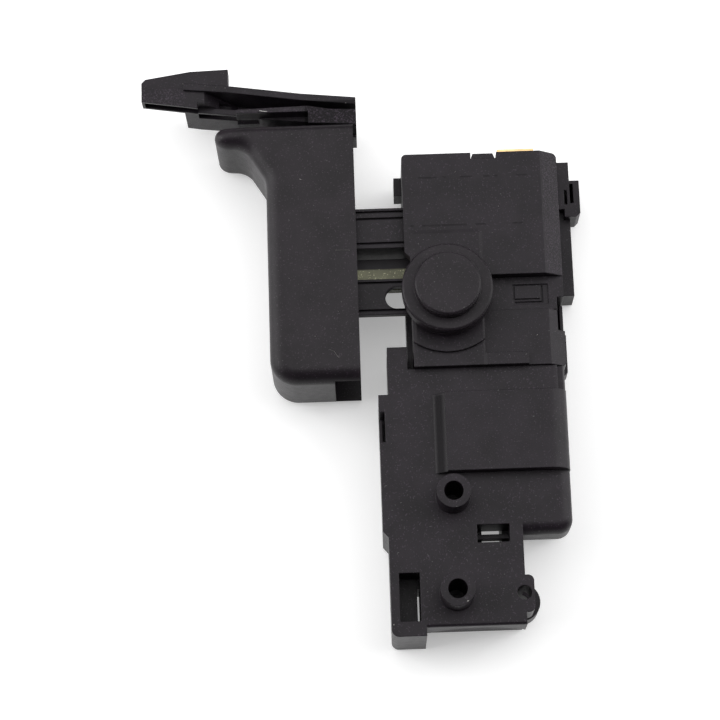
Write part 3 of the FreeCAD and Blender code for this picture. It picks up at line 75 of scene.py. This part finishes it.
class Shader:
    """A node material that is built a step at a time. Places and sizes are in millimetres."""

    def __init__(self, name):
        self.material = bpy.data.materials.new(name)
        self.material.use_nodes = True
        self.tree = self.material.node_tree
        self.surface = self.tree.nodes["Principled BSDF"]
        self.place = self.add("ShaderNodeTexCoord").outputs["Object"]
        split = self.add("ShaderNodeSeparateXYZ")
        self.link(self.place, split.inputs[0])
        self.axes = dict(zip("xyz", split.outputs))

    def add(self, kind, **settings):
        node = self.tree.nodes.new(kind)
        for key, value in settings.items():
            setattr(node, key, value)
        return node

    def link(self, out, into):
        self.tree.links.new(out, into)

    def noise(self, size, detail=2.0, rough=0.5, stretch=(1, 1, 1)):
        """A noise whose features are about size across."""
        mapping = self.add("ShaderNodeMapping")
        mapping.inputs["Scale"].default_value = stretch
        self.link(self.place, mapping.inputs["Vector"])
        texture = self.add("ShaderNodeTexNoise")
        texture.inputs["Scale"].default_value = 1 / (size * MM)
        texture.inputs["Detail"].default_value = detail
        texture.inputs["Roughness"].default_value = rough
        self.link(mapping.outputs["Vector"], texture.inputs["Vector"])
        return texture.outputs["Fac"]

    def spread(self, value, low, high, to_low, to_high):
        """Maps a value's range to another, clamped."""
        ranged = self.add("ShaderNodeMapRange")
        for name, number in zip(("From Min", "From Max", "To Min", "To Max"), (low, high, to_low, to_high)):
            ranged.inputs[name].default_value = number
        self.link(value, ranged.inputs["Value"])
        return ranged.outputs["Result"]

    def math(self, operation, first, second):
        """A sum of two values, each a number or an output."""
        node = self.add("ShaderNodeMath", operation=operation)
        for value, socket in zip((first, second), node.inputs):
            if isinstance(value, bpy.types.NodeSocket):
                self.link(value, socket)
            else:
                socket.default_value = value
        return node.outputs[0]

    def within(self, soft=0.15, **ranges):
        """One inside the ranges along x, y and z, and nought outside."""
        inside = 1.0
        for axis, (low, high) in ranges.items():
            place = self.axes[axis]
            rise = self.spread(place, (low - soft) * MM, (low + soft) * MM, 0, 1)
            fall = self.spread(place, (high - soft) * MM, (high + soft) * MM, 1, 0)
            inside = self.math("MULTIPLY", inside, self.math("MULTIPLY", rise, fall))
        return inside

    def mix(self, factor, first, second):
        """Mixes two colours, each a colour or an output."""
        mixed = self.add("ShaderNodeMix", data_type="RGBA")
        self.link(factor, mixed.inputs["Factor"])
        for value, socket in ((first, mixed.inputs[6]), (second, mixed.inputs[7])):
            if isinstance(value, bpy.types.NodeSocket):
                self.link(value, socket)
            else:
                socket.default_value = (*value, 1)
        return mixed.outputs[2]

    def bump(self, height, depth, before=None):
        bumped = self.add("ShaderNodeBump")
        bumped.inputs["Strength"].default_value = 1
        bumped.inputs["Distance"].default_value = depth * MM
        self.link(height, bumped.inputs["Height"])
        if before:
            self.link(before, bumped.inputs["Normal"])
        return bumped.outputs["Normal"]

    def softened(self, radius):
        """The surface's normal with its edges rounded to a radius."""
        bevel = self.add("ShaderNodeBevel", samples=6)
        bevel.inputs["Radius"].default_value = radius * MM
        return bevel.outputs["Normal"]


def times(colour, factor):
    return tuple(c * factor for c in colour)


def moulded(name, colour, grain, depth, roughness, eroded=(), lines=(), panel=None, matt_and_painted_shade=(), painted_shade=None):
    """Moulded plastic with a fine grain, faint mottling and dust. In the eroded zones it is coarse.

    The lines are rows of short faint marks, grooves darkened with painted shade; the panel is a zone that
    stands up a little, and the darker, matt zones are a matt face on the lever and a painted shadow on the
    module. The painted-shade zone is painted black as shade.
    """
    shader = Shader(name)
    shader.surface.inputs["Specular IOR Level"].default_value = SHEEN
    waves = shader.noise(5, 3)
    dust = shader.spread(shader.noise(0.24, 0), 0.7, 0.76, 0, 1)
    specks = shader.spread(shader.noise(0.42, 1), 0.755, 0.775, 0, 1)
    base = shader.mix(shader.spread(waves, 0.35, 0.65, 0, 1), times(colour, 0.8), times(colour, 1.3))
    base = shader.mix(dust, base, times(colour, 3.2))
    base = shader.mix(specks, base, tuple(c * 0.5 + SPECK_GREY for c in colour))
    # Painted shade: this zone is painted black where shade falls on the part.
    if painted_shade:
        base = shader.mix(shader.within(**painted_shade), base, BLACK)
    rough = shader.spread(shader.noise(1.2, 3), 0.3, 0.7, roughness - ROUGH_SPREAD, roughness + ROUGH_SPREAD)
    # Darker, matt zones: a matt face on the lever, and a painted shadow on the module.
    for zone in matt_and_painted_shade:
        inside = shader.within(**zone)
        base = shader.mix(inside, base, times(colour, 0.5))
        rough = shader.math("MAXIMUM", rough, shader.math("MULTIPLY", inside, DULL_ROUGHNESS))
    coarse = 0.0
    for zone in eroded:
        coarse = shader.math("MAXIMUM", coarse, shader.within(**zone))
    normal = shader.bump(shader.noise(grain, 3, 0.6), depth, shader.softened(EDGE_RADIUS))
    if panel:
        normal = shader.bump(shader.within(0.3, **panel), PANEL_HEIGHT, normal)
    # Each groove is sunk by a bump and darkened with painted shade.
    for zone in lines:
        dashes = shader.spread(shader.noise(1.6, 0), 0.5, 0.54, 0, 0.7)
        groove_and_shade = shader.math("MULTIPLY", shader.within(0.06, **zone), dashes)
        base = shader.mix(groove_and_shade, base, times(colour, 0.4))
        normal = shader.bump(groove_and_shade, -GROOVE_DEPTH, normal)
    if eroded:
        pits = shader.noise(0.28, 3, 0.65)
        fleck = shader.math("MULTIPLY", coarse, shader.spread(pits, 0.52, 0.62, 0, 0.8))
        base = shader.mix(fleck, base, times(colour, 4.5))
        normal = shader.bump(shader.math("MULTIPLY", pits, coarse), PIT_DEPTH, normal)
    shader.link(base, shader.surface.inputs["Base Color"])
    shader.link(rough, shader.surface.inputs["Roughness"])
    shader.link(normal, shader.surface.inputs["Normal"])
    return shader.material


def metal(name, colour, roughness, brush=0.15):
    """Rolled or drawn metal with fine marks along one way and slight stains."""
    shader = Shader(name)
    shader.surface.inputs["Metallic"].default_value = 1
    marks = shader.noise(brush, 4, 0.6, (0.15, 1, 1))
    stains = shader.noise(2.5, 3)
    base = shader.mix(shader.spread(stains, 0.4, 0.7, 0, 1), colour, times(colour, 0.7))
    shader.link(base, shader.surface.inputs["Base Color"])
    rough = shader.spread(marks, 0.3, 0.7, roughness - 0.08, roughness + 0.1)
    shader.link(rough, shader.surface.inputs["Roughness"])
    shader.link(shader.bump(marks, 0.004), shader.surface.inputs["Normal"])
    return shader.material


def dress(material, *names):
    """Gives CAD nodes a material."""
    for name in names:
        mesh = nodes[name].data
        mesh.materials.clear()
        mesh.materials.append(material)


BLACK = (0.0094, 0.007, 0.0098)
TRIGGER_BLACK = (0.0094, 0.007, 0.0094)
CREAM = (0.2, 0.2, 0.13)
SHEEN = 0.21
SPECK_GREY = 0.05
ROUGH_SPREAD = 0.03
DULL_ROUGHNESS = 0.72
EDGE_RADIUS = 0.18
PANEL_HEIGHT = 0.14
GROOVE_DEPTH = 0.05
PIT_DEPTH = 0.09

# Zones of the moulded surfaces, in millimetres.
FRAME_LINES = [
    {"x": (-5.8, 14.5), "y": (20.7, 20.9), "z": (16.9, 17.5)},
    {"x": (-5.8, 14.5), "y": (12.1, 12.3), "z": (16.9, 17.5)},
]
BUTTON_PANEL = {"x": (-5.6, 6.1), "y": (-14, 11.1), "z": (16.0, 17.6)}
LEVER_ERODED = [
    {"x": (-52, -44), "y": (36, 39.7), "z": (13.9, 14.4)},
    {"x": (-35.3, -14), "y": (31.8, 35.8), "z": (14.4, 15.0)},
]
LEVER_DULL = [{"x": (-23.3, -13), "y": (30, 36.5), "z": (9, 15.6)}]
# Painted shade: the slider's upper part, which lies in shade in the gap between the parts, is painted black.
SLIDER_PAINTED_SHADE = {"y": (6.6, 60)}
# Painted shadow: the strip beside the module's raised panel is darkened and made matt where the panel's
# shadow falls.
MODULE_PAINTED_SHADOW = [{"soft": 0.5, "x": (-3.0, -0.6), "y": (-30.8, -16.8), "z": (12, 16.4)}]
COVER_ERODED = [{"x": (17.0, 20.2), "y": (3.3, 25.4), "z": (14.6, 17.1)}]


def materials():
    """The finish of every CAD node."""
    housing = moulded("housing_plastic", BLACK, 0.16, 0.024, 0.42)
    cover = moulded("cover_plastic", BLACK, 0.16, 0.024, 0.42, COVER_ERODED,
                    lines=FRAME_LINES, panel=BUTTON_PANEL)
    trigger = moulded("trigger_plastic", TRIGGER_BLACK, 0.12, 0.014, 0.4)
    lever = moulded("lever_plastic", BLACK, 0.18, 0.024, 0.42, LEVER_ERODED, matt_and_painted_shade=LEVER_DULL)
    dress(housing, "rear_housing", "module_rear_case", "side_bracket", "plunger")
    dress(moulded("module_plastic_painted_shadow", BLACK, 0.16, 0.024, 0.42, matt_and_painted_shade=MODULE_PAINTED_SHADOW), "module_front_case")
    dress(cover, "front_cover")
    dress(trigger, "trigger_shell", "lock_button")
    dress(lever, "direction_lever")
    dress(moulded("cream_nylon", CREAM, 0.3, 0.006, 0.42), "contact_carrier")
    dress(moulded("slider_nylon_painted_shade", CREAM, 0.3, 0.006, 0.42, painted_shade=SLIDER_PAINTED_SHADE), "lock_slider")
    dress(metal("brass", (0.78, 0.55, 0.28), 0.32), "contact_bridge", "motor_terminal", "line_terminal",
          "neutral_terminal", "wiper")
    dress(metal("silver", (0.8, 0.8, 0.77), 0.3), "moving_pad_lower", "moving_pad_upper", "fixed_pad_lower",
          "fixed_pad_upper")
    dress(metal("spring_steel", (0.6, 0.6, 0.6), 0.3), "return_spring", "button_spring", "bridge_spring",
          "detent_spring", "detent_ball", "lever_pivot_pin")
    dress(metal("aluminium", (0.75, 0.75, 0.76), 0.4), "heat_sink")
    dress(moulded("board_green", (0.03, 0.15, 0.06), 0.4, 0.006, 0.4), "circuit_board", "speed_track")
    dress(moulded("component_black", (0.03, 0.03, 0.032), 0.2, 0.008, 0.5), "triac", "control_chip")
    dress(moulded("capacitor_yellow", (0.6, 0.38, 0.04), 0.5, 0.006, 0.35), "capacitor")
    dress(moulded("resistor_tan", (0.45, 0.32, 0.18), 0.3, 0.006, 0.4),
          "resistor_1", "resistor_2", "resistor_3")


def surface_of(name):
    """A node's faces, ready to be met from above."""
    mesh = nodes[name].data
    return BVHTree.FromPolygons([v.co for v in mesh.vertices], [p.vertices for p in mesh.polygons])


def on_surface(tree, x, y):
    """The highest point of a node above a place in millimetres."""
    point = tree.ray_cast(Vector((x * MM, y * MM, 1)), Vector((0, 0, -1)))[0]
    if point is None:
        raise ValueError(f"Nothing lies under {x}, {y}.")
    return point


def finish_piece(name, mesh, body, material):
    """Links a piece that rides on a body."""
    piece = bpy.data.objects.new(name, mesh)
    bpy.context.scene.collection.objects.link(piece)
    mesh.materials.append(material)
    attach(piece, body)


FLAKE_SIDES = 9
FLAKE_SUNK = 0.03
FLAKE_RIM = 0.05
FLAKE_TOP = 0.07


def flakes(name, carrier, body, spots, material):
    """Irregular flakes that lie on a node. Each spot is x, y and a size in millimetres."""
    tree = surface_of(carrier)
    dice = random.Random(name)
    work = bmesh.new()
    for x, y, size in spots:
        place = on_surface(tree, x, y)
        low, high = [], []
        turn = dice.uniform(0, math.tau)
        for step in range(FLAKE_SIDES):
            angle = step * math.tau / FLAKE_SIDES
            reach = size / 2 * MM * dice.uniform(0.6, 1.1)
            along, across = reach * math.cos(angle), reach * math.sin(angle) * 0.6
            edge = Vector((along * math.cos(turn) - across * math.sin(turn),
                           along * math.sin(turn) + across * math.cos(turn), 0))
            rim = FLAKE_RIM * MM * dice.uniform(0.6, 1)
            low.append(work.verts.new(place + edge + Vector((0, 0, -FLAKE_SUNK * MM))))
            high.append(work.verts.new(place + edge * 0.8 + Vector((0, 0, rim))))
        top = work.verts.new(place + Vector((0, 0, FLAKE_TOP * MM)))
        work.faces.new(low[::-1])
        for step in range(FLAKE_SIDES):
            after = (step + 1) % FLAKE_SIDES
            work.faces.new((low[step], low[after], high[after], high[step]))
            work.faces.new((high[step], high[after], top))
    mesh = bpy.data.meshes.new(name)
    work.to_mesh(mesh)
    work.free()
    finish_piece(name, mesh, body, material)


def fibres(name, carrier, body, strands, thickness, material):
    """Fine fibres that lie on a node. Each strand is a list of places in millimetres."""
    tree = surface_of(carrier)
    curve = bpy.data.curves.new(name, "CURVE")
    curve.dimensions = "3D"
    curve.bevel_depth = thickness / 2 * MM
    curve.bevel_resolution = 2
    curve.resolution_u = 6
    curve.use_fill_caps = True
    for strand in strands:
        spline = curve.splines.new("NURBS")
        spline.points.add(len(strand) - 1)
        for point, (x, y) in zip(spline.points, strand):
            point.co = (*(on_surface(tree, x, y) + Vector((0, 0, thickness * 0.35 * MM))), 1)
        spline.order_u = 3
        spline.use_endpoint_u = True
    finish_piece(name, curve, body, material)


def litter():
    """The dust, lint and marks that the photograph shows, each on the node that carries it."""
    pale = moulded("pale_dust", (0.13, 0.125, 0.12), 0.1, 0.01, 0.7)
    white = moulded("white_lint", (0.5, 0.5, 0.48), 0.1, 0.01, 0.7)
    rusty = moulded("orange_grit", (0.33, 0.13, 0.05), 0.1, 0.01, 0.6)
    flakes("cover_dust", "front_cover", "housing", COVER_DUST, pale)
    flakes("cover_grit", "front_cover", "housing", COVER_GRIT, rusty)
    flakes("lever_dust", "direction_lever", "direction_lever", LEVER_DUST, pale)
    flakes("module_dust", "module_front_case", "housing", MODULE_DUST, pale)
    flakes("trigger_dust", "trigger_shell", "trigger", TRIGGER_DUST, pale)
    fibres("trigger_marks", "trigger_shell", "trigger", TRIGGER_MARKS, 0.07, pale)
    fibres("lever_lint", "direction_lever", "direction_lever", LEVER_LINT, 0.12, white)


def shortening_spring(name):
    """A copy of a spring with a mesh of its own that rides on the housing, in place of its CAD node, which
    is hidden. The CAD node would stay as long as it is at rest.
    """
    coil = bpy.data.objects.new(name + "_coil", nodes[name].data.copy())
    bpy.context.scene.collection.objects.link(coil)
    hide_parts(name)
    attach(coil, "housing")
    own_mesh(coil)


COVER_DUST = [
    (15.0, -7.2, 0.3), (2.3, 21.7, 0.25), (-5.2, 18.2, 0.2), (-1.9, 8.1, 0.2), (9.4, 15.3, 0.2),
]
COVER_GRIT = [(-0.9, -6.6, 0.9)]
LEVER_DUST = [
    (-16.0, 35.9, 0.3), (-25.6, 38.1, 0.35), (-32.6, 36.7, 0.3), (-44.2, 40.4, 0.3),
    (-42.6, 40.1, 0.2), (-40.4, 39.9, 0.3), (-38.5, 39.6, 0.25), (-36.9, 39.4, 0.3),
]
MODULE_DUST = [(-10.9, -55.4, 0.4), (1.2, -52.7, 0.5)]
TRIGGER_DUST = [
    (-24.2, 21.3, 0.45), (-19.6, 14.2, 0.2), (-26.5, 3.7, 0.2), (-18.4, -2.4, 0.2), (-22.4, -6.6, 0.25),
]
TRIGGER_MARKS = [
    [(-18.6, 8.4), (-17.4, 8.42), (-16.1, 8.3)],
    [(-20.2, -9.0), (-19.3, -9.2), (-18.9, -10.0), (-18.5, -10.5)],
]
LEVER_LINT = [[(-31.0, 35.0), (-30.4, 34.8), (-29.7, 34.75)]]

# The floor and the lamps are in metres.
FLOOR_HALF = 4
FLOOR_Z = -0.0002


def floor():
    """A white sheet under the switch. It shows white to the camera and keeps the switch's shadow."""
    mesh = bpy.data.meshes.new("floor")
    corners = [(x * FLOOR_HALF, y * FLOOR_HALF, FLOOR_Z) for x, y in ((-1, -1), (1, -1), (1, 1), (-1, 1))]
    mesh.from_pydata(corners, [], [(0, 1, 2, 3)])
    sheet = bpy.data.objects.new("floor", mesh)
    bpy.context.scene.collection.objects.link(sheet)
    shader = Shader("white_sheet")
    shader.surface.inputs["Base Color"].default_value = (0.8, 0.8, 0.8, 1)
    shader.surface.inputs["Roughness"].default_value = 0.9
    rays = shader.add("ShaderNodeLightPath").outputs
    seen = shader.math("MAXIMUM", rays["Is Camera Ray"], rays["Is Glossy Ray"])
    seen = shader.math("MAXIMUM", seen, rays["Is Transmission Ray"])
    shader.surface.inputs["Emission Color"].default_value = (1, 1, 1, 1)
    shader.link(shader.math("MULTIPLY", seen, FLOOR_GLOW), shader.surface.inputs["Emission Strength"])
    mesh.materials.append(shader.material)


FLOOR_GLOW = 0.34
WORLD = 0.06
SOFTBOXES = {
    "top_softbox": ((0.02, 0.22, 0.6), (1.1, 0.8), 1.8),
    "left_softbox": ((-0.6, 0.05, 0.2), (0.5, 0.8), 3.6),
    "right_softbox": ((0.75, 0.15, 0.4), (0.5, 0.9), 3.2),
}


def lights():
    """Three softboxes that leave the switch's lower end darker, each given by how bright it looks."""
    world = bpy.data.worlds.new("studio")
    world.use_nodes = True
    background = world.node_tree.nodes["Background"].inputs
    background["Color"].default_value = (1, 1, 1, 1)
    background["Strength"].default_value = WORLD
    bpy.context.scene.world = world
    centre = Vector((-0.015, -0.01, 0.01))
    for name, (place, size, brightness) in SOFTBOXES.items():
        data = bpy.data.lights.new(name, "AREA")
        data.shape = "RECTANGLE"
        data.size, data.size_y = size
        data.energy = brightness * math.pi * size[0] * size[1]
        lamp = bpy.data.objects.new(name, data)
        lamp.location = place
        lamp.rotation_mode = "QUATERNION"
        lamp.rotation_quaternion = (centre - Vector(place)).to_track_quat("-Z", "Y")
        bpy.context.scene.collection.objects.link(lamp)


camera()
materials()
shortening_spring("return_spring")
shortening_spring("button_spring")
litter()
floor()
lights()
bpy.context.scene.view_settings.view_transform = "Standard"
